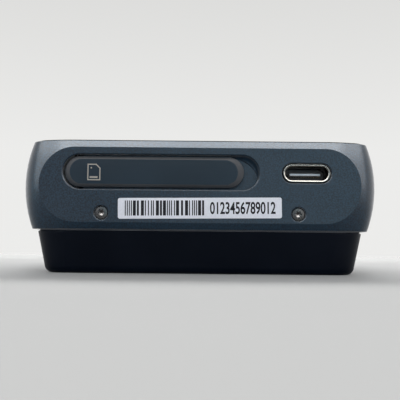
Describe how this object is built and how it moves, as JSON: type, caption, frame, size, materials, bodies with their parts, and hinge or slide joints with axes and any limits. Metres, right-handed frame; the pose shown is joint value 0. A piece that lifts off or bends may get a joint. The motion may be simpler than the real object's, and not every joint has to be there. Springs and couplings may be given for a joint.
{
  "type": "handheld voice recorder",
  "caption": "Handheld voice recorder with a barrel-sided metal body, tapered back cover, glass front, hinged memory card door, USB port, side keys and a level knob.",
  "frame": {"origin": "centre of the flat back rest face, on the surface that the recorder lies on", "axes": "+Z out of the front glass, +Y from the port end to the jack end, +X to the right when the glass is seen with the jack end up"},
  "size_m": [0.0694, 0.1251, 0.026],
  "materials": {
    "chassis_metal": "bead-blasted slate anodising",
    "rear_shell": "satin black",
    "seal_rubber": "matt",
    "screw_steel": "satin",
    "front_glass": "polished, black backed",
    "display": "dark, switched off",
    "carrier_plate": "plain",
    "board": "solder mask",
    "connector_plastic": "moulded",
    "shield_steel": "tin plated",
    "battery_wrap": "wrapped cell",
    "contact_gold": "plated",
    "door_plastic": "fine matt",
    "usb_steel": "bright",
    "tongue_plastic": "moulded",
    "label_paper": "printed film",
    "ring_gold": "polished",
    "knob_metal": "turned and anodised",
    "light_ring": "frosted",
    "key_metal": "anodised",
    "record_key": "satin red"
  },
  "bodies": {
    "housing": {"chassis": "chassis_metal", "rear_gasket": "seal_rubber", "rear_cover": "rear_shell", "end_screws": "screw_steel", "front_glass": "front_glass", "glass_tape": "seal_rubber", "display_panel": "display", "display_carrier": "carrier_plate", "carrier_screws": "screw_steel", "main_board": "board", "audio_board": "board", "board_link": "connector_plastic", "board_screws": "screw_steel", "processor_shield": "shield_steel", "memory_chips": "connector_plastic", "battery_pack": "battery_wrap", "battery_pad": "seal_rubber", "card_socket_base": "connector_plastic", "card_socket_cover": "shield_steel", "card_contacts": "contact_gold", "card_door_pin": "screw_steel", "usb_shell": "usb_steel", "usb_tongue": "tongue_plastic", "serial_label": "label_paper", "phones_jack": "connector_plastic", "mic_jack": "connector_plastic", "jack_rings": "ring_gold", "encoder_body": "shield_steel", "encoder_nut": "screw_steel", "knob_light_ring": "light_ring", "mic_capsules": "shield_steel", "mic_boots": "seal_rubber", "mic_meshes": "screw_steel", "key_board": "board", "key_switches": "shield_steel", "key_bracket": "shield_steel", "hold_switch": "shield_steel", "hold_bracket": "shield_steel"},
    "card_door": {"card_door": "door_plastic"},
    "level_knob": {"volume_knob": "knob_metal", "knob_shaft": "screw_steel"},
    "record_key": {"record_key": "record_key"},
    "play_key": {"play_key": "key_metal"},
    "back_key": {"back_key": "key_metal"},
    "forward_key": {"forward_key": "key_metal"},
    "hold_slider": {"hold_slider": "key_metal"}
  },
  "joints": [
    {"name": "card_door_hinge", "type": "hinge", "parent": "housing", "child": "card_door", "pos_m": [-0.02395, -0.05855, 0.01965], "axis": [0, 0, -1], "range_deg": [0, 95]},
    {"name": "level_knob_turn", "type": "hinge", "parent": "housing", "child": "level_knob", "pos_m": [0.015, 0.0595, 0.01715], "axis": [0, -1, 0], "continuous": true},
    {"name": "record_key_press", "type": "slide", "parent": "housing", "child": "record_key", "axis": [-1, 0, 0], "range_m": [0, 0.0004], "stiffness_N_per_m": 300},
    {"name": "play_key_press", "type": "slide", "parent": "housing", "child": "play_key", "axis": [-1, 0, 0], "range_m": [0, 0.0004], "stiffness_N_per_m": 300},
    {"name": "back_key_press", "type": "slide", "parent": "housing", "child": "back_key", "axis": [-1, 0, 0], "range_m": [0, 0.0004], "stiffness_N_per_m": 300},
    {"name": "forward_key_press", "type": "slide", "parent": "housing", "child": "forward_key", "axis": [-1, 0, 0], "range_m": [0, 0.0004], "stiffness_N_per_m": 300},
    {"name": "hold_slide", "type": "slide", "parent": "housing", "child": "hold_slider", "axis": [0, 1, 0], "range_m": [0, 0.003]}
  ]
}
